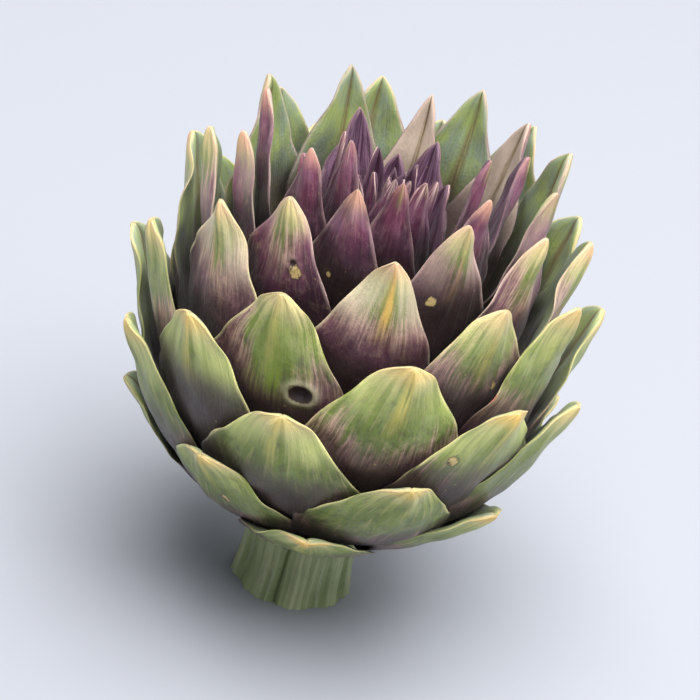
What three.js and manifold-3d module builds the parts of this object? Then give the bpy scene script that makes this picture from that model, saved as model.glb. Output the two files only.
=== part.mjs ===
// Globe artichoke head on a short cut stem, standing upright on the cut face.
// Millimetres, +Z up, origin at the middle of the cut face. The photographed side faces -Y.
//
// The bracts grow in one golden-angle spiral, numbered from the middle of the bud outwards and down.
// Everything about a bract follows from its number: where it roots on the core, where its tip stands,
// how steeply it leaves the core, how far it leans out at the tip and how wide and thick it is.

import * as THREE from "three";
import { mergeVertices } from "three/addons/utils/BufferGeometryUtils.js";
import Module from "manifold-3d";

const wasm = await Module();
wasm.setup();

// Spiral
const bractCount = 78;
const divergence = THREE.MathUtils.degToRad(137.63);
const firstAzimuth = THREE.MathUtils.degToRad(22);
const bractsPerKnot = 13;

// Bodies by colour: the number of the bract where each one starts
const firstMiddleBract = 28;
const firstOuterBract = 50;

// Stem
const stemLength = 22;
const stemFootRadius = 13;
const stemNeckRadius = 12;
const stemTopRadius = 14;
const stemNeckFrom = 0.35;
const stemNeckTo = 0.75;
const stemRibs = 9;
const stemRibDepth = 0.7;
const stemSides = 36;

// Bract tables, one entry a knot from the middle of the bud to the lowest bracts.
// Paths are [radius, height], the height above the level where the globe meets its foot.
const tipPath = splinePath([[1, 75], [12, 81], [29.8, 87.2], [39.5, 79.5], [48.4, 63], [52.6, 40], [44, 8]]);
const corePath = splinePath([[0, 44], [10, 42], [19, 36], [26, 27], [29.5, 14], [26, 2.5], [16, -4.5]]);
const launchDegrees = [89, 84, 72, 56, 40, 20, -15];
const tipLeanDegrees = [0, 3, 6, 10, 16, 26, 55];
const halfWidths = [5, 8.3, 11.3, 15.5, 18.5, 19, 15];
const tipTapers = [1, 1, 1.1, 1.25, 1.42, 1.4, 1.35];
const tipShares = [0.1, 0.1, 0.1, 0.12, 0.17, 0.2, 0.2];
const fleshThickness = [1, 1.4, 1.7, 1.9, 2.1, 2.1, 1.9];
const keelHeights = [0.2, 0.4, 0.6, 0.8, 0.9, 0.8, 0.5];
const foldDepths = [0.8, 1.6, 2.2, 2.6, 2.5, 1.9, 1.1];
const flareHeights = [0.2, 0.5, 0.8, 1.1, 1.3, 1.3, 1];

// Bracts that stand off the rule on the photographed side:
// [number, degrees of turn, rise, share of the rule's width where it isn't 1]
const offRule = [
  [6, 10, -1],
  [10, 0, -2],
  [11, 0, -3],
  [12, 0, -8],
  [15, 10, -9],
  [16, -23, 4],
  [17, -20, -10],
  [18, 12, 3],
  [19, -6, -7],
  [20, 12, -8.5],
  [21, -7, 0, 0.85],
  [22, -27, -7],
  [25, -7.5, -3.5, 0.8],
  [26, -2, -0.5],
  [27, 15, 3.5],
  [29, -2.5, -0.5, 0.9],
  [30, -5.5, -1],
  [32, -7, -2],
  [33, -3, 1.5],
  [34, 5, 1, 0.95],
  [35, -5, 0],
  [36, 4, 3],
  [38, 0.5, 0.5],
  [39, 2, 2],
  [41, 0, 4],
  [42, 4.5, 1, 0.9],
  [45, 3, 2],
  [47, 5, 0],
  [52, -2, 5],
  [53, -2, -3],
  [55, 3, 1],
  [63, -2, -1],
  [65, -6, 4],
  [66, -2, 2],
  [68, -1, -1],
];

// Shape of one bract, as shares of its length and half width
const rootShare = 0.45;
const widestAt = 0.5;
const rootHandle = 0.42;
const tipHandle = 0.38;
const fleshThinning = 0.6;
const foldRunsOut = 0.3;
const cupRatio = 1.4;
const mostWrap = 1.15;
const rimThickness = 0.8;
const rootDepth = 3;
const rowsOfBract = [0, 0.25, 0.5, 0.7, 0.87, 1];
const columnsOfBract = 4;
const rowsOfBudBract = [0, 0.4, 0.75, 1];
const columnsOfBudBract = 2;
const lastBudBract = 12;

// Core and fit
const coreSides = 14;
const coreRings = 5;
const steepestCone = 0.4;
const nodeGap = 0.35;
const headHeight = stemLength + nodeGap - corePath.points.at(-1).y;

function splinePath(points) {
  return new THREE.SplineCurve(points.map(([radius, height]) => new THREE.Vector2(radius, height)));
}

function pointOn(curve, knot) {
  return curve.getPoint(knot / (curve.points.length - 1));
}

function valueAt(table, knot) {
  const i = Math.min(Math.floor(knot), table.length - 2);
  return THREE.MathUtils.lerp(table[i], table[i + 1], knot - i);
}

// The middle line of a bract in the plane of its own azimuth: x is the radius and y the height.
function midline(knot, rise) {
  const launch = THREE.MathUtils.degToRad(valueAt(launchDegrees, knot));
  const lean = THREE.MathUtils.degToRad(valueAt(tipLeanDegrees, knot));
  const outOfCore = new THREE.Vector2(Math.cos(launch), Math.sin(launch));
  const towardsTip = new THREE.Vector2(Math.sin(lean), Math.cos(lean));
  const root = pointOn(corePath, knot).addScaledVector(outOfCore, -rootDepth);
  const tip = pointOn(tipPath, knot);
  tip.y += rise;
  const chord = root.distanceTo(tip);
  const afterRoot = root.clone().addScaledVector(outOfCore, rootHandle * chord);
  const beforeTip = tip.clone().addScaledVector(towardsTip, -tipHandle * chord);
  return new THREE.CubicBezierCurve(root, afterRoot, beforeTip, tip);
}

function widthShare(along, taper, tipShare) {
  if (along < widestAt) {
    return rootShare + (1 - rootShare) * Math.sin((Math.PI / 2) * (along / widestAt));
  }
  const past = (along - widestAt) / (1 - widestAt);
  return tipShare + (1 - tipShare) * (1 - past ** taper);
}

// One bract: an outer and an inner face on the same grid, joined round the rim.
// Low down it follows the round of the head, and towards the tip it is cupped to its own radius,
// folded back on each side of its ridge, with flanks that flare outwards below the tip.
function bract(number, grow) {
  const knot = number / bractsPerKnot;
  const isBud = number <= lastBudBract;
  const rows = isBud ? rowsOfBudBract : rowsOfBract;
  const columns = isBud ? columnsOfBudBract : columnsOfBract;
  const [, turned, rise, slim = 1] = offRule.find(([which]) => which === number) ?? [number, 0, 0];
  const line = midline(knot, rise);
  const halfWidth = slim * valueAt(halfWidths, knot);
  const flesh = valueAt(fleshThickness, knot);
  const keel = valueAt(keelHeights, knot);
  const taper = valueAt(tipTapers, knot);
  const tipShare = valueAt(tipShares, knot);
  const foldDepth = valueAt(foldDepths, knot);
  const flareHeight = valueAt(flareHeights, knot);
  const azimuth = firstAzimuth - number * divergence + THREE.MathUtils.degToRad(turned);
  const radial = new THREE.Vector3(Math.sin(azimuth), -Math.cos(azimuth), 0);
  const sideways = new THREE.Vector3(Math.cos(azimuth), Math.sin(azimuth), 0);
  const up = new THREE.Vector3(0, 0, 1);
  const outer = [];
  const inner = [];
  for (const along of rows) {
    const middle = line.getPoint(along);
    const tangent = line.getTangent(along);
    const facing = radial.clone().multiplyScalar(tangent.y).addScaledVector(up, -tangent.x);
    const half = halfWidth * widthShare(along, taper, tipShare) + grow;
    const headBend = Math.abs(tangent.y) / Math.max(middle.x, 1);
    const ownBend = 1 / (cupRatio * halfWidth);
    const blend = THREE.MathUtils.smoothstep(along, 0, 1);
    const bend = Math.min(THREE.MathUtils.lerp(headBend, ownBend, blend), mostWrap / half);
    const fold = foldDepth * THREE.MathUtils.smoothstep(along, 0.55, 0.92);
    const flareEnds = 1 - THREE.MathUtils.smoothstep(along, 0.75, 0.95);
    const flare = flareHeight * THREE.MathUtils.smoothstep(along, 0.5, 0.7) * flareEnds;
    const onAxis = radial.clone().multiplyScalar(middle.x).addScaledVector(up, middle.y + headHeight);
    for (let column = 0; column <= columns; column++) {
      const across = (2 * column) / columns - 1;
      const turn = across * half * bend;
      const normal = facing.clone().multiplyScalar(Math.cos(turn)).addScaledVector(sideways, Math.sin(turn));
      const onCurve = onAxis
        .clone()
        .addScaledVector(sideways, Math.sin(turn) / bend)
        .addScaledVector(facing, -(1 - Math.cos(turn)) / bend);
      const away = Math.abs(across);
      const lift = fold * (foldRunsOut - away) + flare * away ** 3;
      const ridge = keel * (1 - away) ** 2 * blend;
      const body = rimThickness + flesh * (1 - across ** 2) * (1 - fleshThinning * along);
      outer.push(onCurve.clone().addScaledVector(normal, lift + ridge + grow));
      inner.push(onCurve.clone().addScaledVector(normal, lift - body - grow));
    }
  }
  return closedSheet(outer, inner, columns, rows.length - 1);
}

function closedSheet(outer, inner, columns, rows) {
  const index = [];
  const wide = columns + 1;
  const behind = outer.length;
  const quad = (a, b, c, d) => index.push(a, b, c, a, c, d);
  for (let row = 0; row < rows; row++) {
    for (let column = 0; column < columns; column++) {
      const a = row * wide + column;
      quad(a, a + 1, a + wide + 1, a + wide);
      quad(behind + a, behind + a + wide, behind + a + wide + 1, behind + a + 1);
    }
  }
  for (let column = 0; column < columns; column++) {
    const top = rows * wide + column;
    quad(column + 1, column, behind + column, behind + column + 1);
    quad(top, top + 1, behind + top + 1, behind + top);
  }
  for (let row = 0; row < rows; row++) {
    const left = row * wide;
    const right = left + columns;
    quad(left, left + wide, behind + left + wide, behind + left);
    quad(right + wide, right, behind + right, behind + right + wide);
  }
  return solidOf(geometryOf([...outer, ...inner], index));
}

function geometryOf(points, index) {
  const made = new THREE.BufferGeometry().setFromPoints(points);
  made.setIndex(index);
  return made;
}

function solidOf(source) {
  source.deleteAttribute("normal");
  source.deleteAttribute("uv");
  const merged = mergeVertices(source, 1e-4);
  const vertProperties = merged.attributes.position.array;
  const triVerts = new Uint32Array(merged.index.array);
  return new wasm.Manifold(new wasm.Mesh({ numProp: 3, vertProperties, triVerts }));
}

// The slice of the core that a run of bracts grows from. It ends below and above in cones that fall
// towards the axis the way the bracts beside them do, so that no bract of the run is cut at its root.
function coreSlice(first, last, grow) {
  const isTop = first === 0;
  const isFoot = last === bractCount - 1;
  const lowKnot = isFoot ? corePath.points.length - 1 : (last + 0.5) / bractsPerKnot;
  const highKnot = isTop ? 0 : (first - 0.5) / bractsPerKnot;
  const onAxis = (knot) => {
    const edge = pointOn(corePath, knot);
    const fall = Math.tan(THREE.MathUtils.degToRad(valueAt(launchDegrees, knot)));
    return edge.y - edge.x * Math.min(fall, steepestCone);
  };
  const profile = [];
  for (let ring = 0; ring <= coreRings; ring++) {
    const point = pointOn(corePath, THREE.MathUtils.lerp(lowKnot, highKnot, ring / coreRings));
    profile.push(new THREE.Vector2(Math.max(point.x + grow, 0), point.y));
  }
  profile[0].y -= grow;
  profile[coreRings].y += grow;
  if (isTop) profile[coreRings].x = 0;
  else profile.push(new THREE.Vector2(0, onAxis(highKnot) + grow));
  profile.unshift(new THREE.Vector2(0, (isFoot ? corePath.points.at(-1).y : onAxis(lowKnot)) - grow));
  const turned = new THREE.LatheGeometry(profile, coreSides);
  turned.rotateX(Math.PI / 2);
  turned.translate(0, 0, headHeight);
  return solidOf(turned);
}

// The outermost skin alone, which fills any hollow that the joining closed and drops loose scraps.
function outermostSkin(body) {
  return body.decompose().reduce((a, b) => (a.volume() > b.volume() ? a : b));
}

function bractRun(first, last, grow = 0) {
  let body = coreSlice(first, last, grow);
  for (let number = first; number <= last; number++) body = body.add(bract(number, grow));
  return outermostSkin(body);
}

// Stem: a fluted stub, a little wider at the cut and where it meets the head.
function flutedStem() {
  const levels = [
    [0, stemFootRadius],
    [stemLength * stemNeckFrom, stemNeckRadius],
    [stemLength * stemNeckTo, stemNeckRadius],
    [stemLength, stemTopRadius],
  ];
  const points = [];
  for (const [height, radius] of levels) {
    for (let side = 0; side < stemSides; side++) {
      const angle = (2 * Math.PI * side) / stemSides;
      const r = radius + stemRibDepth * Math.cos(stemRibs * angle);
      points.push(new THREE.Vector3(r * Math.cos(angle), r * Math.sin(angle), height));
    }
  }
  const foot = points.push(new THREE.Vector3(0, 0, 0)) - 1;
  const top = points.push(new THREE.Vector3(0, 0, stemLength)) - 1;
  const lastRing = (levels.length - 1) * stemSides;
  const index = [];
  for (let side = 0; side < stemSides; side++) {
    const next = (side + 1) % stemSides;
    index.push(foot, next, side, top, lastRing + side, lastRing + next);
    for (let low = 0; low < lastRing; low += stemSides) {
      const high = low + stemSides;
      index.push(low + side, low + next, high + next, low + side, high + next, high + side);
    }
  }
  return solidOf(geometryOf(points, index));
}

const artichoke = new THREE.Group();

function place(name, body, color, roughness) {
  const made = body.getMesh();
  const shape = new THREE.BufferGeometry();
  shape.setAttribute("position", new THREE.BufferAttribute(new Float32Array(made.vertProperties), 3));
  shape.setIndex(new THREE.BufferAttribute(new Uint32Array(made.triVerts), 1));
  shape.computeVertexNormals();
  const mesh = new THREE.Mesh(shape, new THREE.MeshStandardMaterial({ color, roughness, metalness: 0 }));
  mesh.name = name;
  artichoke.add(mesh);
}

const lastHeartBract = firstMiddleBract - 1;
const lastMiddleBract = firstOuterBract - 1;
const heart = bractRun(0, lastHeartBract);
const roomForHeart = bractRun(0, lastHeartBract, nodeGap);
const middle = outermostSkin(bractRun(firstMiddleBract, lastMiddleBract).subtract(roomForHeart));
const roomForMiddle = bractRun(firstMiddleBract, lastMiddleBract, nodeGap);
const outer = outermostSkin(
  bractRun(firstOuterBract, bractCount - 1).subtract(roomForHeart).subtract(roomForMiddle),
);
place("stem", flutedStem(), "#93a06c", 0.7);
place("outer_bracts", outer, "#7d8a58", 0.6);
place("middle_bracts", middle, "#6f4a5c", 0.55);
place("heart_bracts", heart, "#56284c", 0.5);

export default artichoke;
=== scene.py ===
import math
import bpy
import numpy as np
from mathutils import Matrix, Vector


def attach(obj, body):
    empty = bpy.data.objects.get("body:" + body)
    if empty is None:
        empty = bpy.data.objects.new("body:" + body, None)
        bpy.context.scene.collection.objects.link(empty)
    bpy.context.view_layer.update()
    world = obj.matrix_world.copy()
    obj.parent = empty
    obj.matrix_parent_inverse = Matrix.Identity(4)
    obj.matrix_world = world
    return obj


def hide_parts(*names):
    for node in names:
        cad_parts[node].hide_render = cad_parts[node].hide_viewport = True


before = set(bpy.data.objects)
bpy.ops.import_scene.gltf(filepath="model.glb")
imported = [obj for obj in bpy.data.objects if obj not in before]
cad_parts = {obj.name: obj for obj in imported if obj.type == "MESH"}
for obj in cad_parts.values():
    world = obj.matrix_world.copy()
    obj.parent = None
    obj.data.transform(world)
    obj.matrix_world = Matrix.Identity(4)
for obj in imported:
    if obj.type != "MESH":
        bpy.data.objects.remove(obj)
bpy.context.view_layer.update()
print("frame loaded")

# The growth rule: one golden-angle spiral from the middle of the bud outwards and down.
# Lengths are millimetres here and become metres when a mesh is made.
head = {
    "bracts": 78,
    "turnDegrees": 137.63,
    "firstDegrees": 22.0,
    "bractsPerKnot": 13.0,
    "stemLength": 22.0,
    "gap": 0.35,
    "tipPath": [[1, 75], [12, 81], [29.8, 87.2], [39.5, 79.5], [48.4, 63], [52.6, 40], [44, 8]],
    "corePath": [[0, 44], [10, 42], [19, 36], [26, 27], [29.5, 14], [26, 2.5], [16, -4.5]],
    "launchDegrees": [89, 84, 72, 56, 40, 20, -15],
    "tipLeanDegrees": [0, 3, 6, 10, 16, 26, 55],
    "halfWidths": [5, 8.3, 11.3, 15.5, 18.5, 19, 15],
    "tipTapers": [1, 1, 1.1, 1.25, 1.42, 1.4, 1.35],
    "tipShares": [0.1, 0.1, 0.1, 0.12, 0.17, 0.2, 0.2],
    "flesh": [1, 1.4, 1.7, 1.9, 2.1, 2.1, 1.9],
    "keels": [0.2, 0.4, 0.6, 0.8, 0.9, 0.8, 0.5],
    "foldDepths": [0.8, 1.6, 2.2, 2.6, 2.5, 1.9, 1.1],
    "flareHeights": [0.2, 0.5, 0.8, 1.1, 1.3, 1.3, 1],
}

# Bracts that stand off the rule: degrees of turn, rise, share of the rule's width where it isn't 1
offRule = {
    6: (10, -1), 10: (0, -2), 11: (0, -3), 12: (0, -8), 15: (10, -9), 16: (-23, 4), 17: (-20, -10),
    18: (12, 3), 19: (-6, -7), 20: (12, -8.5), 21: (-7, 0, 0.85), 22: (-27, -7), 25: (-7.5, -3.5, 0.8),
    26: (-2, -0.5), 27: (15, 3.5), 29: (-2.5, -0.5, 0.9), 30: (-5.5, -1), 32: (-7, -2), 33: (-3, 1.5),
    34: (5, 1, 0.95), 35: (-5, 0), 36: (4, 3), 38: (0.5, 0.5), 39: (2, 2), 41: (0, 4),
    42: (4.5, 1, 0.9), 45: (3, 2), 47: (5, 0), 52: (-2, 5), 53: (-2, -3), 55: (3, 1), 63: (-2, -1),
    65: (-6, 4), 66: (-2, 2), 68: (-1, -1),
}


def alongPath(points, knot):  # Catmull-Rom curve through the points, one knot a point
    p = np.asarray(points, float)
    i = min(int(knot), len(p) - 2)
    w = knot - i
    a, b, c, d = p[max(i - 1, 0)], p[i], p[min(i + 1, len(p) - 1)], p[min(i + 2, len(p) - 1)]
    v, u = (c - a) * 0.5, (d - b) * 0.5
    return (2 * b - 2 * c + v + u) * w**3 + (-3 * b + 3 * c - 2 * v - u) * w**2 + v * w + b


def inTable(table, knot):  # straight line between a table's neighbouring entries
    i = min(int(knot), len(table) - 2)
    return table[i] + (table[i + 1] - table[i]) * (knot - i)


def ramp(x, low, high):  # 0 below low, 1 above high, eased between
    s = np.clip((x - low) / (high - low), 0, 1)
    return s * s * (3 - 2 * s)


headHeight = head["stemLength"] + head["gap"] - head["corePath"][-1][1]

# Meshes


def buildMesh(name, points, faces, attributes, material):  # points in millimetres, attributes {name: array}
    mesh = bpy.data.meshes.new(name)
    mesh.vertices.add(len(points))
    mesh.vertices.foreach_set("co", (points * 0.001).astype(np.float32).ravel())
    sizes = np.concatenate([np.full(len(f), f.shape[1]) for f in faces])
    corners = np.concatenate([f.ravel() for f in faces])
    mesh.loops.add(len(corners))
    mesh.loops.foreach_set("vertex_index", corners.astype(np.int32))
    mesh.polygons.add(len(sizes))
    mesh.polygons.foreach_set("loop_start", (np.cumsum(sizes) - sizes).astype(np.int32))
    mesh.polygons.foreach_set("loop_total", sizes.astype(np.int32))
    mesh.polygons.foreach_set("use_smooth", np.ones(len(sizes), bool))
    mesh.update(calc_edges=True)
    mesh.validate()
    for key, values in attributes.items():
        if values.ndim == 2:
            field = mesh.attributes.new(key, "FLOAT_VECTOR", "POINT")
            field.data.foreach_set("vector", values.astype(np.float32).ravel())
        else:
            field = mesh.attributes.new(key, "FLOAT", "POINT")
            field.data.foreach_set("value", values.astype(np.float32))
    mesh.materials.append(material)
    piece = bpy.data.objects.new(name, mesh)
    bpy.context.scene.collection.objects.link(piece)
    return piece


# Bracts

bractForm = {
    "rootShare": 0.45,
    "widestAt": 0.5,
    "rootHandle": 0.42,
    "tipHandle": 0.38,
    "cupRatio": 1.4,
    "mostWrap": 1.15,
    "rootDepth": 3.0,
    "rim": 0.8,
    "thinRim": 0.35,
    "thinning": 0.6,
    "bluntFrom": 0.93,
    "roundness": 1.8,
    "columns": 30,
    "rows": 52,
    "woundedColumns": 66,
    "woundedRows": 90,
    "capRows": 10,
    "ribs": 0.09,
    "wave": 0.5,
    "dents": 0.16,
    "foldRunsOut": 0.3,
    "foldEase": 0.6,
    "groove": 0.35,
    "grooveWidth": 0.13,
    "nicks": 0.016,
    "ridgeDrift": 0.16,
    "ridgeRound": 0.012,
    "swellPower": 2.4,
    "tipRound": 2.4,
    "rimRound": 14,
    "sizeOfWaves": 18,
    "seed": 1000,
}

# Old wounds: number, across, along, hole's radius and depth, crust's radius, its shift across and along (mm)
marks = [
    (50, 0.5, 0.6, 1.9, 1.7, 1.0, -1.4, 0.9),
    (37, 0.26, 0.76, 0.8, 0.5, 1.25, 0.9, -1.8),
    (34, -0.25, 0.68, 0.2, 0.1, 1.0, 0.0, 0.0),
    (60, -0.62, 0.72, 0.5, 0.3, 1.1, 0.6, 0.6),
    (47, 0.35, 0.66, 0.5, 0.3, 0.9, 0.5, -0.8),
    (29, -0.3, 0.62, 0.4, 0.2, 0.6, 0.5, -0.5),
    (71, 0.2, 0.62, 0.7, 0.4, 1.2, 0.4, 0.9),
    (56, 0.3, 0.66, 1.2, 0.9, 1.7, -0.4, 0.5),
    (59, -0.4, 0.7, 0.6, 0.4, 1.1, 0.5, -0.9),
]

# Bracts whose colours stand off the rule. First, how much further up the green starts on the ridge, the left
# flank and the right flank, as shares of the length
greenShift = {
    34: (-0.04, -0.1, -0.1), 37: (0.02, 0, 0), 42: (0.02, -0.2, -0.14), 45: (0.04, 0, 0), 47: (-0.06, 0, 0),
    50: (-0.01, 0.12, -0.06), 52: (-0.06, 0, 0), 55: (-0.05, 0, 0), 58: (-0.03, 0, 0),
}
# How golden the ridge is
goldRidge = {34: 0.65, 37: 0.15, 42: 1.3, 45: 0.3, 47: 0.3, 50: 0.4, 55: 0.95, 58: 0.5, 60: 0.5, 63: 0.5}
# How pale the flanks are, or below zero how green the middle is
paleFlank = {
    31: 0.25, 32: 0.3, 34: 0.3, 42: 0.95, 45: 0.6, 50: -0.8, 55: 0.4, 58: 0.75, 60: 0.75, 63: 0.65, 66: 0.5,
}
# An orange-brown spot: across and along as shares of the half width and the length, size in mm
rustSpots = {52: (-0.84, 0.68, 1.7)}
# How much further up the painted shade at the base reaches, as a share of the length
baseShade = {29: 0.05, 34: 0.12, 47: 0.1, 50: 0.02, 55: -0.02, 58: 0.19, 60: 0.12, 63: 0.09, 66: 0.05}


def bractLoop(c):  # one ring of a bract, c columns a face: the outer face left to right, then the inner back
    s = np.linspace(-1, 1, c + 1)
    across = np.sin(s * math.pi / 2) * 0.6 + s * 0.4
    ring = np.concatenate([across, across[-2:0:-1]])
    side = np.concatenate([np.ones(c + 1), np.zeros(c - 1)])
    return ring, side


def bractRows(count):  # along, from the root to just short of the tip, closer together at the blunt end
    cap = bractForm["bluntFrom"]
    body = np.linspace(0, 1, count) ** 0.75 * cap
    end = cap + (1 - cap) * np.sin(np.linspace(0, math.pi / 2, bractForm["capRows"] + 1))[1:-1]
    return np.concatenate([body, end])


def bract(number):
    # A ruled patch: the middle line is a cubic from the core to the tip in the plane of the bract's azimuth,
    # and each cross line is an arc square to it, folded along a ridge near the tip, flared at the flanks,
    # raised by ribs and dents, and thickened inwards.
    f = bractForm
    knot = number / head["bractsPerKnot"]
    tier = number / (head["bracts"] - 1)
    chance = np.random.default_rng(f["seed"] + number)
    turned, rise, slim = (*offRule.get(number, (0, 0)), 1)[:3]
    launch = math.radians(inTable(head["launchDegrees"], knot))
    lean = math.radians(inTable(head["tipLeanDegrees"], knot))
    outOfCore = np.array([math.cos(launch), math.sin(launch)])
    root = alongPath(head["corePath"], knot) - f["rootDepth"] * outOfCore
    tip = alongPath(head["tipPath"], knot) + np.array([0, rise])
    chord = np.hypot(*(tip - root))
    beforeTip = tip - np.array([math.sin(lean), math.cos(lean)]) * f["tipHandle"] * chord
    b = [root, root + outOfCore * f["rootHandle"] * chord, beforeTip, tip]
    wounded = any(mark[0] == number for mark in marks)
    v = np.append(bractRows(f["woundedRows"] if wounded else f["rows"]), 1.0)[:, None]
    w = 1 - v
    middle = w**3 * b[0] + 3 * w**2 * v * b[1] + 3 * w * v**2 * b[2] + v**3 * b[3]
    tangent = w**2 * (b[1] - b[0]) + 2 * w * v * (b[2] - b[1]) + v**2 * (b[3] - b[2])
    tangent /= np.linalg.norm(tangent, axis=1)[:, None]
    halfWidth = slim * inTable(head["halfWidths"], knot)
    size = halfWidth / f["sizeOfWaves"]
    taper = inTable(head["tipTapers"], knot)
    tipShare = inTable(head["tipShares"], knot)
    past = np.clip((v - f["widestAt"]) / (1 - f["widestAt"]), 0, 1)
    share = np.where(
        v < f["widestAt"],
        f["rootShare"] + (1 - f["rootShare"]) * np.sin(math.pi / 2 * np.minimum(v / f["widestAt"], 1)),
        tipShare + (1 - tipShare) * (1 - past**taper),
    )
    end = np.clip((v - f["bluntFrom"]) / (1 - f["bluntFrom"]), 0, 1)
    shoulder = np.clip(1 - end**f["roundness"], 0, 1) ** 0.5
    blunt = np.clip(1 - end**f["tipRound"], 0, 1) ** 0.5
    half = halfWidth * share * shoulder + 1e-4
    blend = v * v * (3 - 2 * v)
    headBend = np.abs(tangent[:, 1:2]) / np.maximum(middle[:, 0:1], 1)
    bend = headBend * (1 - blend) + blend / (f["cupRatio"] * halfWidth)
    bend = np.minimum(bend, f["mostWrap"] / (halfWidth * share))
    azimuth = math.radians(head["firstDegrees"] - number * head["turnDegrees"] + turned)
    radial = np.array([math.sin(azimuth), -math.cos(azimuth), 0])
    sideways = np.array([math.cos(azimuth), math.sin(azimuth), 0])
    up = np.array([0, 0, 1.0])
    facing = radial * tangent[:, 1:2] - up * tangent[:, 0:1]
    onAxis = radial * middle[:, 0:1] + up * (middle[:, 1:2] + headHeight)
    across, side = bractLoop(f["woundedColumns"] if wounded else f["columns"])
    across, side = across[None, :], side[None, :]
    phase = chance.uniform(0, 2 * math.pi, 16)
    left, right = across < 0, across > 0
    nicks = f["nicks"] * np.sin(v * 31 + phase[0]) * left + f["nicks"] * np.sin(v * 27 + phase[1]) * right
    turn = across * half * bend * (1 + nicks)
    normal = facing[:, None] * np.cos(turn)[..., None] + sideways * np.sin(turn)[..., None]
    points = (onAxis[:, None] + sideways * (np.sin(turn) / bend)[..., None]
              - facing[:, None] * ((1 - np.cos(turn)) / bend)[..., None])
    a = np.abs(across)
    drift = chance.uniform(-f["ridgeDrift"], f["ridgeDrift"])
    offCentre = across - drift * (1 - across**2) * ramp(v, 0.4, 1.0)
    fromRidge = np.sqrt(offCentre**2 + f["ridgeRound"])
    flesh = inTable(head["flesh"], knot)
    swell = 1 - np.clip(a, 0, 1)**f["swellPower"]
    body = f["thinRim"] + (f["rim"] - f["thinRim"] + flesh * (1 - f["thinning"] * v)) * swell
    body = body * (0.3 + 0.7 * blunt)
    ridge = inTable(head["keels"], knot) * (1.1 - fromRidge)**2 * blend * blunt
    roundRim = 0.5 * f["thinRim"] * (1 - np.sqrt(np.clip(1 - a**f["rimRound"], 0, 1)))
    ribs = f["ribs"] * (np.cos(offCentre * 10 + phase[2]) + 0.6 * np.cos(offCentre * 21 + phase[3]))
    ribs = ribs * (1 - a**4) * blunt * ramp(v, 0.2, 0.5)
    # both faces move together from here on
    fold = inTable(head["foldDepths"], knot) * ramp(v, 0.55, 0.92) * (1 - f["foldEase"] * ramp(v, 0.85, 1))
    fold = fold * (f["foldRunsOut"] - fromRidge) * blunt
    flare = inTable(head["flareHeights"], knot) * a**3 * ramp(v, 0.5, 0.7) * (1 - ramp(v, 0.75, 0.95))
    wave = (np.sin(v * 13 + phase[4]) + 0.5 * np.sin(v * 29 + phase[5])) * left
    wave = wave + (np.sin(v * 11 + phase[6]) + 0.5 * np.sin(v * 33 + phase[7])) * right
    wave = f["wave"] * size * wave * a**3 * ramp(v, 0.4, 0.7) * blunt
    x, y = across * half, v * chord
    dents = (np.sin(x * 0.42 + y * 0.21 + phase[8]) + np.sin(x * 0.33 - y * 0.37 + phase[9])
             + np.sin(x * 0.71 + y * 0.55 + phase[10]) * 0.6 + np.sin(x * 0.9 - y * 0.25 + phase[11]) * 0.5)
    dents = f["dents"] * min(size, 1) * dents * blunt * ramp(v, 0.3, 0.5)
    pit, crust, lip = np.zeros_like(x), np.zeros_like(x), np.zeros_like(x)
    for marked, atAcross, atAlong, hole, depth, scab, shiftAcross, shiftAlong in marks:
        if marked == number:
            fromX, fromY = x - atAcross * halfWidth * 0.8, y - atAlong * chord
            pit = np.maximum(pit, np.exp(-(fromX**2 + fromY**2) / hole**2 * 1.2) * depth)
            away = np.hypot(fromX - shiftAcross, (fromY - shiftAlong) * 0.8) / scab
            crust = np.maximum(crust, np.clip(1.6 - away, 0, 1.6) / 1.6)
            lip = np.maximum(lip, np.exp(-(np.hypot(fromX, fromY) / hole - 1.5)**2 * 3) * depth * 0.35)
    luck = chance.random()
    shift, shiftLeft, shiftRight = greenShift.get(number, (0, 0, 0))
    rustAcross, rustAlong, rustSize = rustSpots.get(number, (0, -9, 1))
    fromRust = (x - rustAcross * halfWidth)**2 + (y - rustAlong * chord)**2
    groove = f["groove"] * np.exp(-(offCentre / f["grooveWidth"]) ** 2) * blunt * ramp(v, 0.3, 0.6)
    outward = np.where(side > 0.5, ridge + ribs - roundRim - pit + lip, -body + roundRim + groove)
    outward = outward + fold + flare + wave + dents
    points = points + normal * outward[..., None]
    spread = np.broadcast_to
    shape = points.shape[:2]
    veinwise = across * (0.45 * half + 0.55 * halfWidth)
    fields = {
        "grain": np.stack([spread(veinwise, shape) + number * 61.7, spread(y, shape),
                           spread(side * 40.0, shape)], -1),
        "across": spread(offCentre, shape),
        "along": spread(v, shape),
        "edge": np.minimum((1 - a) * half, (1 - v) * chord + 0.25),
        "side": spread(side, shape),
        "tier": np.full(shape, tier),
        "luck": np.full(shape, luck),
        "greenShift": spread(shift + np.where(left, shiftLeft, shiftRight) * a**1.5, shape),
        "pale": np.full(shape, paleFlank.get(number, 0.3 * luck * (number >= 40))),
        "rust": spread(np.exp(-fromRust / rustSize**2), shape),
        "dark": np.full(shape, baseShade.get(number, 0.0)),
        "gold": np.full(shape, goldRidge.get(number, 0.7 * luck)),
        "pit": spread(pit * side, shape),
        "lip": spread(lip * side / 0.6, shape),
        "crust": spread(crust * side, shape),
    }
    return points, fields


def closedRings(rings):  # quads round and along a stack of rings, a fan at the first ring and one at the last
    rows, count = rings
    k = np.arange(count)
    after = (k + 1) % count
    r = np.arange(rows - 1)[:, None] * count
    quads = np.stack([r + k, r + after, r + count + after, r + count + k], -1).reshape(-1, 4)
    return quads, k, after


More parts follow.
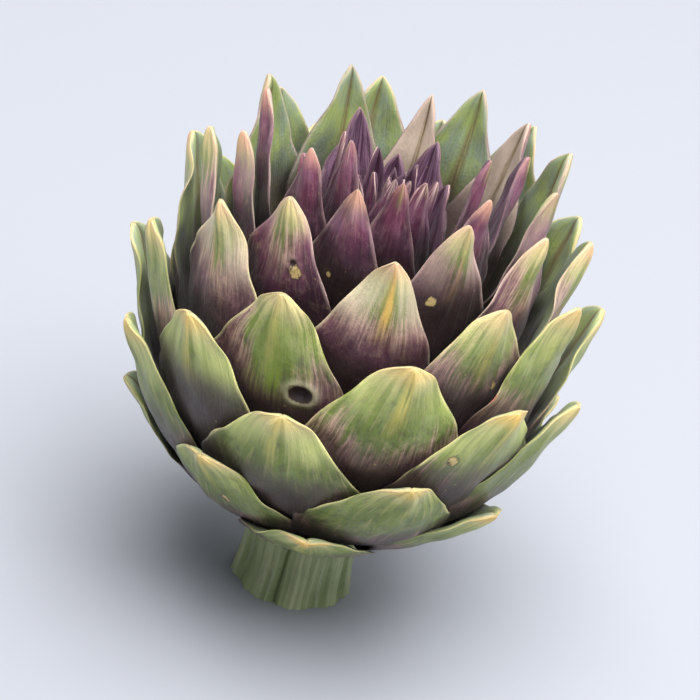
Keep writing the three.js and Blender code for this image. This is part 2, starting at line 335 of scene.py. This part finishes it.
def bractPiece(name, numbers, material, node):
    allPoints, allFields, quadList, triList, start = [], {}, [], [], 0
    for number in numbers:
        points, fields = bract(number)
        rows, count = points.shape[:2]
        rootMiddle = points[0].mean(0)
        flat = np.concatenate([points[:-1].reshape(-1, 3), points[-1].mean(0)[None], rootMiddle[None]])
        quads, k, after = closedRings((rows - 1, count))
        tipIndex = (rows - 1) * count
        last = (rows - 2) * count
        tris = np.concatenate([
            np.stack([last + k, last + after, np.full(count, tipIndex)], -1),
            np.stack([after, k, np.full(count, tipIndex + 1)], -1),
        ])
        allPoints.append(flat)
        quadList.append(quads + start)
        triList.append(tris + start)
        for key, values in fields.items():
            lead = values[:-1].reshape(-1, *values.shape[2:])
            ends = [values[-1].mean(0)[None], values[0].mean(0)[None]]
            allFields.setdefault(key, []).append(np.concatenate([lead, *ends]))
        start += len(flat)
    faces = [np.concatenate(quadList), np.concatenate(triList)]
    joined = {key: np.concatenate(parts) for key, parts in allFields.items()}
    piece = buildMesh(name, np.concatenate(allPoints), faces, joined, material)
    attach(piece, "root")
    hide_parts(node)
    return piece


# Materials


def screen(red, green, blue):  # a colour as a screen shows it, made linear
    c = np.array([red, green, blue]) / 255
    return tuple(np.where(c <= 0.04045, c / 12.92, ((c + 0.055) / 1.055) ** 2.4).tolist())


colours = {
    "green": screen(104, 126, 42),
    "freshGreen": screen(112, 133, 36),
    "darkGreen": screen(84, 94, 54),
    "greyGreen": screen(148, 163, 98),
    "yellowGreen": screen(206, 206, 118),
    "gold": screen(232, 190, 98),
    "paleGold": screen(220, 204, 104),
    "ochre": screen(224, 166, 132),
    "margin": screen(222, 214, 146),
    "pinkMargin": screen(216, 182, 176),
    "dusty": screen(136, 104, 98),
    "paleStreak": screen(206, 170, 150),
    "mauve": screen(118, 76, 86),
    "brown": screen(50, 34, 36),
    "purple": screen(120, 58, 88),
    "plum": screen(62, 32, 52),
    "pink": screen(206, 144, 160),
    "lavender": screen(176, 126, 152),
    "innerGreen": screen(130, 144, 124),
    "innerBeige": screen(184, 166, 148),
    "innerVein": screen(112, 98, 66),
    "innerPurple": screen(124, 94, 116),
    "rust": screen(196, 112, 84),
    "lip": screen(186, 180, 146),
    "scar": screen(206, 178, 118),
    "cream": screen(226, 214, 152),
    "bloom": screen(214, 202, 166),
    "greenBloom": screen(198, 204, 128),
    "glint": screen(240, 206, 196),
    "coreShade": (0.012, 0.005, 0.009),
    "bark": (0.17, 0.22, 0.085),
    "paleBark": (0.27, 0.32, 0.15),
    "ribTop": (0.44, 0.46, 0.27),
    "grooveShade": (0.075, 0.11, 0.04),
    "barkStreak": (0.46, 0.46, 0.32),
    "pith": (0.55, 0.52, 0.34),
    "bundle": (0.34, 0.33, 0.16),
    "cutRim": (0.22, 0.17, 0.08),
}


def newMaterial(name, roughness=0.5):
    material = bpy.data.materials.new(name)
    material.use_nodes = True
    shader = material.node_tree.nodes["Principled BSDF"]
    shader.inputs["Roughness"].default_value = roughness
    return material, material.node_tree.nodes, material.node_tree.links, shader


class Shade:  # short ways to add and join the nodes of one material
    def __init__(self, nodes, links):
        self.nodes, self.links = nodes, links

    def add(self, kind, **settings):
        node = self.nodes.new(kind)
        for key, value in settings.items():
            setattr(node, key, value)
        return node

    def join(self, source, socket):
        if isinstance(source, bpy.types.NodeSocket):
            self.links.new(source, socket)
        else:
            socket.default_value = source

    def field(self, name, output="Fac"):
        return self.add("ShaderNodeAttribute", attribute_name=name).outputs[output]

    def maths(self, operation, *values, clamp=False):
        node = self.add("ShaderNodeMath", operation=operation, use_clamp=clamp)
        for value, socket in zip(values, node.inputs):
            self.join(value, socket)
        return node.outputs[0]

    def span(self, kind, value, low, high, first, second):
        node = self.add("ShaderNodeMapRange", interpolation_type=kind)
        names = ("Value", "From Min", "From Max", "To Min", "To Max")
        for key, x in zip(names, (value, low, high, first, second)):
            self.join(x, node.inputs[key])
        return node.outputs["Result"]

    def step(self, value, low, high, first=0.0, second=1.0):  # eased from first at low to second at high
        return self.span("SMOOTHSTEP", value, low, high, first, second)

    def slope(self, value, low, high, first, second):  # straight from first at low to second at high
        return self.span("LINEAR", value, low, high, first, second)

    def noise(self, vector, stretch, detail=4.0, roughness=0.55):
        mapping = self.add("ShaderNodeMapping")
        self.links.new(vector, mapping.inputs["Vector"])
        mapping.inputs["Scale"].default_value = stretch
        node = self.add("ShaderNodeTexNoise")
        node.inputs["Scale"].default_value = 1.0
        node.inputs["Detail"].default_value = detail
        node.inputs["Roughness"].default_value = roughness
        self.links.new(mapping.outputs["Vector"], node.inputs["Vector"])
        return node.outputs["Fac"]

    def mix(self, amount, first, second):
        node = self.add("ShaderNodeMix", data_type="RGBA")
        self.join(amount, node.inputs["Factor"])
        for value, socket in ((first, node.inputs[6]), (second, node.inputs[7])):
            self.join((*value, 1.0) if isinstance(value, tuple) else value, socket)
        return node.outputs[2]

    def bump(self, height, strength, distance, under=None):
        node = self.add("ShaderNodeBump")
        node.inputs["Strength"].default_value = strength
        node.inputs["Distance"].default_value = distance
        self.links.new(height, node.inputs["Height"])
        if under is not None:
            self.links.new(under, node.inputs["Normal"])
        return node.outputs["Normal"]


def bractSkin():
    material, nodes, links, shader = newMaterial("bractSkin", 0.5)
    s = Shade(nodes, links)
    c = colours
    grain = s.field("grain", "Vector")
    along, across, edge = s.field("along"), s.field("across"), s.field("edge")
    side, tier, luck = s.field("side"), s.field("tier"), s.field("luck")
    pit, crust = s.field("pit"), s.field("crust")
    away = s.maths("ABSOLUTE", across)
    streak = s.noise(grain, (1.5, 0.07, 1.0), 5.0, 0.65)
    broadStreak = s.noise(grain, (0.42, 0.035, 1.0), 3.0)
    cloud = s.noise(grain, (0.13, 0.1, 1.0), 4.0)
    speck = s.noise(grain, (1.9, 1.3, 1.0), 3.0)

    def off(value, amount):  # how far a noise is from its middle, times amount
        return s.maths("MULTIPLY", s.maths("SUBTRACT", value, 0.5), amount)

    # where purple gives way to green: at the tip near the heart, low down on the outermost bracts
    start = s.slope(tier, 0.36, 0.84, 0.97, 0.42)
    start = s.maths("ADD", start, off(broadStreak, 0.36))
    start = s.maths("ADD", start, off(streak, 0.17))
    start = s.maths("ADD", start, off(cloud, 0.24))
    start = s.maths("ADD", start, off(luck, 0.06))
    start = s.maths("ADD", start, s.field("greenShift"))
    flank = s.maths("MULTIPLY", s.maths("POWER", away, 1.5), s.step(tier, 0.55, 0.95, 0.24, 0.05))
    start = s.maths("ADD", start, flank)
    above = s.maths("SUBTRACT", along, start)

    greens = s.mix(s.step(cloud, 0.42, 0.66, 0.0, 0.7), c["green"], c["greyGreen"])
    greens = s.mix(s.step(along, 0.86, 0.56, 0.0, 0.46), greens, c["darkGreen"])
    fresh = s.maths("MULTIPLY", s.step(along, 0.5, 0.66), s.step(broadStreak, 0.5, 0.36))
    greens = s.mix(s.maths("MULTIPLY", fresh, 0.6), greens, c["freshGreen"])
    fresh = s.maths("MULTIPLY", s.step(along, 0.7, 1.0), s.step(broadStreak, 0.42, 0.6))
    greens = s.mix(s.maths("MULTIPLY", fresh, 0.7), greens, c["yellowGreen"])
    greens = s.mix(s.maths("MULTIPLY", s.step(streak, 0.55, 0.72), 0.4), greens, c["yellowGreen"])
    outer = s.mix(s.step(tier, 0.42, 0.58), c["purple"], c["mauve"])
    outer = s.mix(s.step(above, -0.36, -0.14), c["plum"], outer)
    outer = s.mix(s.step(tier, 0.26, 0.1, 0.0, 0.6), outer, c["plum"])
    haze = s.mix(s.step(streak, 0.42, 0.6), c["dusty"], c["paleStreak"])
    outer = s.mix(s.maths("MULTIPLY", s.step(above, -0.2, -0.02), s.step(tier, 0.3, 0.5)), outer, haze)
    outer = s.mix(s.step(above, -0.05, 0.09), outer, greens)
    darkStreak = s.mix(s.step(above, -0.1, 0.1), c["plum"], c["darkGreen"])
    outer = s.mix(s.step(streak, 0.3, 0.46, 0.32, 0.0), outer, darkStreak)
    blotch = s.noise(grain, (0.5, 0.3, 1.0), 6.0, 0.7)
    pinkish = s.maths("MULTIPLY", s.step(blotch, 0.5, 0.66), s.step(tier, 0.2, 0.5, 0.12, 0.35))
    pinkish = s.maths("MULTIPLY", pinkish, s.step(above, 0.0, 0.2, 1.0, 0.45))
    outer = s.mix(pinkish, outer, c["paleStreak"])
    outer = s.mix(s.maths("MULTIPLY", s.step(blotch, 0.5, 0.36), 0.4), outer, c["plum"])
    # painted highlight: pink and pale streaks where light catches the upper parts
    lit = s.maths("MULTIPLY", s.step(streak, 0.52, 0.68), s.step(along, 0.55, 0.7))
    lit = s.maths("MULTIPLY", lit, s.step(above, 0.0, 0.2, 1.0, 0.5))
    litColour = s.mix(s.step(tier, 0.35, 0.55), c["pink"], c["paleStreak"])
    outer = s.mix(s.maths("MULTIPLY", lit, 0.36), outer, litColour)
    # a broad soft lavender cast on the upper parts of the inner tiers, partly waxy bloom and partly painted
    # sheen of the light from above
    bloom = s.maths("MULTIPLY", s.step(cloud, 0.42, 0.6), s.step(along, 0.6, 0.8))
    outer = s.mix(s.maths("MULTIPLY", bloom, s.step(tier, 0.35, 0.5, 0.3, 0.0)), outer, c["lavender"])
    # dark where the next bracts shade it
    hidden = s.slope(tier, 0.36, 0.84, 0.66, 0.46)
    over = s.maths("SUBTRACT", s.maths("ADD", along, off(cloud, 0.12)), hidden)
    over = s.maths("SUBTRACT", over, s.field("dark"))
    outer = s.mix(s.step(over, 0.17, 0.02, 0.0, 0.6), outer, c["plum"])
    outer = s.mix(s.step(over, 0.07, -0.1, 0.0, 0.95), outer, c["brown"])

    # yellow along the ridge, partly its own colour and partly painted highlight where the fold catches the
    # light, and ochre at the tip, both stronger on some bracts
    ridgeWidth = s.step(tier, 0.55, 0.68, 0.26, 0.2)
    ridge = s.maths("MULTIPLY", s.step(away, ridgeWidth, 0.02), s.step(along, 0.62, 0.84))
    ridge = s.maths("MULTIPLY", ridge, s.step(tier, 0.38, 0.54))
    ridge = s.maths("MULTIPLY", ridge, s.step(broadStreak, 0.34, 0.6))
    ridge = s.maths("MULTIPLY", ridge, s.step(streak, 0.34, 0.56, 0.55, 1.0))
    ridge = s.maths("MULTIPLY", ridge, s.field("gold"))
    paleness = s.field("pale")
    sides = s.maths("MULTIPLY", s.step(along, 0.68, 0.86), s.step(away, 0.08, 0.45))
    sides = s.maths("MULTIPLY", sides, s.step(broadStreak, 0.3, 0.55, 0.55, 1.0))
    flankColour = s.mix(s.step(tier, 0.6, 0.7), c["bloom"], c["greenBloom"])
    outer = s.mix(s.maths("MULTIPLY", sides, s.maths("MAXIMUM", paleness, 0.0)), outer, flankColour)
    cream = s.maths("MULTIPLY", s.step(along, 0.84, 0.97), s.step(tier, 0.34, 0.46))
    cream = s.maths("MULTIPLY", cream, s.step(broadStreak, 0.36, 0.6, 0.4, 0.9))
    cream = s.maths("MULTIPLY", cream, s.step(away, 0.0, 0.5, 0.6, 1.0))
    outer = s.mix(cream, outer, c["cream"])
    middle = s.maths("MULTIPLY", s.step(along, 0.5, 0.64), s.step(along, 0.97, 0.86))
    middle = s.maths("MULTIPLY", middle, s.step(away, 0.5, 0.1))
    middle = s.maths("MULTIPLY", middle, s.step(streak, 0.36, 0.58, 0.3, 1.0))
    greenness = s.maths("MULTIPLY", paleness, -1.0, clamp=True)
    outer = s.mix(s.maths("MULTIPLY", middle, greenness), outer, c["freshGreen"])
    outer = s.mix(ridge, outer, s.mix(s.step(tier, 0.55, 0.68), c["gold"], c["paleGold"]))
    # painted glints: pale pink highlights at the tips of the bud's bracts
    glint = s.maths("MULTIPLY", s.step(along, 0.84, 0.97), s.step(tier, 0.26, 0.16))
    glint = s.maths("MULTIPLY", glint, s.step(streak, 0.48, 0.56))
    outer = s.mix(s.maths("MULTIPLY", glint, 0.85), outer, c["glint"])
    tipGlow = s.maths("MULTIPLY", s.step(along, 0.9, 0.995), s.step(tier, 0.12, 0.4))
    tipGlow = s.maths("MULTIPLY", tipGlow, s.step(luck, 0.0, 1.0, 0.25, 0.85))
    outer = s.mix(tipGlow, outer, s.mix(s.step(tier, 0.55, 0.78), c["ochre"], c["gold"]))

    # inner face: green on the outer tiers, beige and then purple towards the bud, a dark vein up the middle
    inside = s.mix(s.step(cloud, 0.35, 0.65), c["innerGreen"], c["greyGreen"])
    inside = s.mix(s.maths("MULTIPLY", s.step(streak, 0.35, 0.6, 1.0, 0.0), 0.35), inside, c["green"])
    inside = s.mix(s.step(tier, 0.365, 0.37), c["innerBeige"], inside)
    vein = s.maths("MULTIPLY", s.step(away, 0.2, 0.03), s.step(streak, 0.3, 0.6))
    inside = s.mix(vein, inside, c["innerVein"])
    darkInside = s.mix(s.step(streak, 0.4, 0.62), c["plum"], c["innerPurple"])
    darkInside = s.mix(s.step(tier, 0.24, 0.12, 0.0, 0.75), darkInside, c["plum"])
    inside = s.mix(s.step(tier, 0.30, 0.315, 1.0, 0.0), inside, darkInside)
    # painted shade: the inner face goes brown towards its root, deep between the bracts
    inside = s.mix(s.step(along, 0.8, 0.5, 0.0, 0.9), inside, c["brown"])
    skin = s.mix(side, inside, outer)

    # thin pale margin, partly the bract's own pale edge and partly painted highlight where the edge catches
    # the light
    margin = s.maths("MULTIPLY", s.step(edge, 1.0, 0.1), s.step(along, 0.5, 0.72))
    margin = s.maths("MULTIPLY", margin, s.step(broadStreak, 0.38, 0.6, 0.15, 0.9))
    margin = s.maths("MULTIPLY", margin, s.step(tier, 0.15, 0.55, 0.08, 0.8))
    marginColour = s.mix(s.step(tier, 0.45, 0.65), c["pinkMargin"], c["margin"])
    marginColour = s.mix(s.maths("MULTIPLY", s.step(along, 0.88, 0.97), 0.5), marginColour, c["ochre"])
    skin = s.mix(margin, skin, marginColour)
    skin = s.mix(s.maths("MULTIPLY", s.step(speck, 0.62, 0.78), 0.3), skin, c["brown"])
    pale = s.noise(grain, (0.9, 0.8, 1.0), 2.0)
    skin = s.mix(s.maths("MULTIPLY", s.step(pale, 0.7, 0.78), 0.5), skin, c["scar"])
    lip = s.maths("MULTIPLY", s.field("lip"), s.step(blotch, 0.3, 0.6, 0.3, 0.75))
    skin = s.mix(lip, skin, c["lip"])
    ragged = s.maths("ADD", crust, off(s.noise(grain, (0.75, 0.5, 1.0), 6.0, 0.75), 1.9))
    rimmed = s.maths("MULTIPLY", s.step(ragged, 0.1, 0.3, 0.0, 0.6), s.step(crust, 0.02, 0.2))
    skin = s.mix(rimmed, skin, c["brown"])
    crusted = s.maths("MULTIPLY", s.step(ragged, 0.34, 0.6, 0.0, 0.9), s.step(crust, 0.1, 0.3))
    skin = s.mix(crusted, skin, c["scar"])
    rusty = s.maths("ADD", s.field("rust"), off(speck, 0.8))
    skin = s.mix(s.step(rusty, 0.35, 0.75, 0.0, 0.8), skin, c["rust"])
    skin = s.mix(s.step(s.maths("ADD", pit, off(speck, 0.2)), 0.12, 0.3), skin, c["brown"])
    links.new(skin, shader.inputs["Base Color"])

    links.new(s.step(blotch, 0.3, 0.7, 0.3, 0.5), shader.inputs["Roughness"])
    shader.inputs["Specular IOR Level"].default_value = 0.5
    shader.inputs["Sheen Weight"].default_value = 0.08
    shader.inputs["Sheen Roughness"].default_value = 0.4
    veins = s.bump(s.noise(grain, (1.7, 0.06, 1.0), 5.0, 0.6), 0.45, 0.0006)
    crumpled = s.bump(blotch, 0.5, 0.0005, veins)
    pores = s.bump(speck, 0.4, 0.0003, crumpled)
    links.new(pores, shader.inputs["Normal"])
    return material


def coreSkin():
    material, nodes, links, shader = newMaterial("coreSkin", 0.7)
    s = Shade(nodes, links)
    place = s.add("ShaderNodeTexCoord").outputs["Object"]
    cloud = s.noise(place, (180, 180, 180), 4.0)
    height = s.add("ShaderNodeSeparateXYZ")
    links.new(place, height.inputs[0])
    # painted shade: near-black above, where the core shows only in the gaps between the heart's bracts, green
    # low down
    low = s.step(height.outputs["Z"], 0.045, 0.03)
    dark = s.mix(s.step(cloud, 0.3, 0.7), colours["coreShade"], colours["brown"])
    green = s.mix(s.step(cloud, 0.3, 0.7), colours["green"], colours["brown"])
    links.new(s.mix(low, dark, green), shader.inputs["Base Color"])
    return material


def stemSkin():
    material, nodes, links, shader = newMaterial("stemSkin", 0.6)
    s = Shade(nodes, links)
    grain = s.field("grain", "Vector")
    cut, rib = s.field("cut"), s.field("rib")
    streak = s.noise(grain, (0.9, 0.05, 1.0), 5.0)
    cloud = s.noise(grain, (0.2, 0.12, 1.0), 4.0)
    bark = s.mix(s.step(cloud, 0.3, 0.75), colours["bark"], colours["paleBark"])
    # painted light on the rib tops and painted shade in the grooves between them
    bark = s.mix(s.step(rib, 0.6, 1.0, 0.0, 0.45), bark, colours["ribTop"])
    bark = s.mix(s.step(rib, 0.35, 0.0, 0.0, 0.75), bark, colours["grooveShade"])
    bark = s.mix(s.step(streak, 0.5, 0.66, 0.0, 0.4), bark, colours["barkStreak"])
    bark = s.mix(s.step(streak, 0.46, 0.32, 0.0, 0.4), bark, colours["darkGreen"])
    speck = s.noise(grain, (1.4, 0.9, 1.0), 3.0)
    bark = s.mix(s.step(speck, 0.64, 0.74, 0.0, 0.5), bark, colours["brown"])
    place = s.add("ShaderNodeTexCoord").outputs["Object"]
    bundles = s.noise(place, (900, 900, 900), 2.0)
    pith = s.mix(s.step(bundles, 0.5, 0.7), colours["pith"], colours["bundle"])
    pith = s.mix(s.step(cut, 0.62, 0.98), pith, colours["cutRim"])
    links.new(s.mix(s.step(cut, 0.0, 0.02, 1.0, 0.0), pith, bark), shader.inputs["Base Color"])
    links.new(s.bump(streak, 0.5, 0.0004), shader.inputs["Normal"])
    return material


skin, coreMaterial, stemMaterial = bractSkin(), coreSkin(), stemSkin()
print("materials made")

# Pieces

bractGroups = [
    ("heartInner", 0, 12, "heart_bracts", "purple_bracts"),
    ("heartMiddle", 13, 20, "heart_bracts", "purple_bracts"),
    ("heartOuter", 21, 27, "heart_bracts", "purple_bracts"),
    ("middleInner", 28, 34, "middle_bracts", "purple_green_bracts"),
    ("middleMid", 35, 41, "middle_bracts", "purple_green_bracts"),
    ("middleOuter", 42, 49, "middle_bracts", "purple_green_bracts"),
    ("outerUpper", 50, 56, "outer_bracts", "green_bracts"),
    ("outerMid", 57, 63, "outer_bracts", "green_bracts"),
    ("outerLower", 64, 70, "outer_bracts", "green_bracts"),
    ("outerFoot", 71, 77, "outer_bracts", "green_bracts"),
]
for name, first, last, node, slotName in bractGroups:
    bractPiece(name, range(first, last + 1), skin, node)
print("bracts made")

core = {"rings": 48, "sides": 64, "inset": 0.2}


def corePiece():
    # The core's profile carried round the axis, closed at the top and the foot on the axis.
    knots = np.linspace(len(head["corePath"]) - 1, 0, core["rings"])
    profile = np.array([alongPath(head["corePath"], k) for k in knots])
    profile[:, 0] = np.maximum(profile[:, 0] - core["inset"], 0.05)
    angle = np.arange(core["sides"]) * 2 * math.pi / core["sides"]
    ring = np.stack([np.cos(angle), np.sin(angle)], -1)
    points = np.concatenate([
        profile[:, None, 0:1] * ring[None],
        np.broadcast_to((profile[:, 1] + headHeight)[:, None, None], (len(profile), core["sides"], 1)),
    ], -1).reshape(-1, 3)
    quads, k, after = closedRings((len(profile), core["sides"]))
    foot = len(points)
    ends = np.array([[0, 0, profile[0, 1] + headHeight], [0, 0, profile[-1, 1] + headHeight]])
    last = (len(profile) - 1) * core["sides"]
    tris = np.concatenate([
        np.stack([after, k, np.full(len(k), foot)], -1),
        np.stack([last + k, last + after, np.full(len(k), foot + 1)], -1),
    ])
    piece = buildMesh("receptacle", np.concatenate([points, ends]), [quads, tris], {}, coreMaterial)
    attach(piece, "root")
    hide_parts("outer_bracts")


corePiece()

stem = {
    "levels": [[13, 0], [12.7, 1.5], [12, 7.7], [12, 16.5], [12.6, 19.5], [14, 22]],
    "ribs": 9,
    "ribDepth": 0.7,
    "fineRibs": 0.16,
    "waver": 0.09,
    "sides": 360,
    "rows": 70,
    "faceRings": 24,
}


def stemPiece():
    # A profile carried round the axis, with round ribs between narrow wavering grooves and finer ribs on
    # them, then the cut face from its rim to the middle.
    angle = np.arange(stem["sides"]) * 2 * math.pi / stem["sides"]
    knots = np.linspace(0, len(stem["levels"]) - 1, stem["rows"])
    profile = np.array([alongPath(stem["levels"], k) for k in knots])
    profile[:, 1] = np.clip(profile[:, 1], 0, head["stemLength"])
    z = profile[:, 1:2]
    uneven = angle + 0.05 * np.sin(angle * 2 + 0.6) + 0.04 * np.sin(angle * 5 + 2.0)
    wavering = uneven + stem["waver"] * (np.sin(z * 0.16 + 1.0) + 0.3 * np.sin(z * 0.5 + angle * 3)) * 0.3
    rib = 2 * np.abs(np.cos(stem["ribs"] / 2 * wavering)) ** 0.7 - 1
    rib = rib * (0.85 + 0.15 * np.sin(angle * 4 + 1.2))
    fine = np.cos(31 * wavering + 1.0) + 0.7 * np.cos(53 * wavering + z * 0.05)
    swelling = 0.12 * np.sin(z * 0.45 + angle * 2) + 0.1 * np.sin(z * 0.3 - angle * 3 + 2.0)
    radius = profile[:, 0:1] + stem["ribDepth"] * rib + stem["fineRibs"] * fine + swelling
    wall = np.stack([radius * np.cos(angle), radius * np.sin(angle), np.broadcast_to(z, radius.shape)], -1)
    shares = np.linspace(1, 0, stem["faceRings"] + 1)[1:-1]
    foot = radius[0][None] * shares[:, None]
    face = np.stack([foot * np.cos(angle), foot * np.sin(angle), np.zeros_like(foot)], -1)
    points = np.concatenate([face[::-1], wall]).reshape(-1, 3)
    onFace = np.broadcast_to(shares[::-1, None], foot.shape)
    cut = np.concatenate([onFace, np.full(radius.shape, -1.0)]).ravel()
    ribField = np.concatenate([np.zeros_like(foot), np.broadcast_to(rib * 0.5 + 0.5, radius.shape)]).ravel()
    turns = np.broadcast_to(angle * 12, (len(foot) + len(radius), stem["sides"])).ravel()
    grain = np.stack([turns, points[:, 2], np.zeros(len(points))], -1)
    quads, k, after = closedRings((len(foot) + len(radius), stem["sides"]))
    count = len(points)
    last = count - stem["sides"]
    points = np.concatenate([points, [[0, 0, 0], [0, 0, head["stemLength"]]]])
    cut = np.concatenate([cut, [0.0, -1.0]])
    ribField = np.concatenate([ribField, [0, 0]])
    grain = np.concatenate([grain, [[0, 0, 0], [0, head["stemLength"], 0]]])
    tris = np.concatenate([
        np.stack([after, k, np.full(len(k), count)], -1),
        np.stack([last + k, last + after, np.full(len(k), count + 1)], -1),
    ])
    fields = {"cut": cut, "rib": ribField, "grain": grain}
    piece = buildMesh("stalk", points, [quads, tris], fields, stemMaterial)
    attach(piece, "root")
    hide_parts("stem")


stemPiece()
print("stem and core made")

# Floor, light and camera

studio = {
    "floorColour": (0.25, 0.262, 0.286),
    "world": (0.88, 0.93, 1.0),
    "worldStrength": 0.35,
    "keyPower": 166.0,
    "fillPower": 1.3,
    "backPower": 3.0,
    "elevation": 28.9,
    "lean": 14.8,
    "distance": 0.63,
    "lens": 150.0,
    "aim": (0.0, 0.0, 0.060),
    "floorReach": 3.0,
    "keyPlace": (0.12, -0.45, 2.2),
    "keySize": 2.2,
    "keyColour": (1.0, 0.985, 1.0),
    "fillPlace": (0.7, -0.3, 0.45),
    "fillSize": 0.5,
    "fillColour": (0.93, 0.96, 1.0),
    "backPlace": (0.25, 0.6, 0.7),
    "backSize": 0.4,
    "backColour": (0.97, 0.98, 1.0),
}


def floorPiece():
    mesh = bpy.data.meshes.new("floor")
    r = studio["floorReach"]
    mesh.from_pydata([(-r, -r, 0), (r, -r, 0), (r, r, 0), (-r, r, 0)], [], [(0, 1, 2, 3)])
    floor = bpy.data.objects.new("floor", mesh)
    bpy.context.scene.collection.objects.link(floor)
    material, _, _, shader = newMaterial("paleFloor", 0.8)
    shader.inputs["Base Color"].default_value = (*studio["floorColour"], 1)
    mesh.materials.append(material)


def areaLight(kind):  # a square lamp of the studio, turned towards the head
    light = bpy.data.lights.new(kind + "Light", "AREA")
    light.energy = studio[kind + "Power"]
    light.size = studio[kind + "Size"]
    light.color = studio[kind + "Colour"]
    lamp = bpy.data.objects.new(kind + "Light", light)
    lamp.location = studio[kind + "Place"]
    bpy.context.scene.collection.objects.link(lamp)
    lamp.rotation_euler = (Vector(studio["aim"]) - lamp.location).to_track_quat("-Z", "Y").to_euler()


floorPiece()
for kind in ("key", "fill", "back"):
    areaLight(kind)
bpy.context.scene.view_settings.view_transform = "Standard"

world = bpy.data.worlds.new("studioWorld")
bpy.context.scene.world = world
world.use_nodes = True
sky = world.node_tree.nodes["Background"]
sky.inputs["Color"].default_value = (*studio["world"], 1)
sky.inputs["Strength"].default_value = studio["worldStrength"]

camera = bpy.data.objects.new("camera", bpy.data.cameras.new("camera"))
bpy.context.scene.collection.objects.link(camera)
camera.data.lens = studio["lens"]
camera.data.sensor_width = 36.0
camera.data.clip_start = 0.01
up = math.radians(studio["elevation"])
back = (0, -math.cos(up), math.sin(up))
camera.location = [a + studio["distance"] * d for a, d in zip(studio["aim"], back)]
level = Vector([-x for x in back]).to_track_quat("-Z", "Y").to_matrix().to_4x4()
camera.rotation_euler = (level @ Matrix.Rotation(math.radians(studio["lean"]), 4, "Z")).to_euler()
bpy.context.scene.camera = camera
print("stage set")
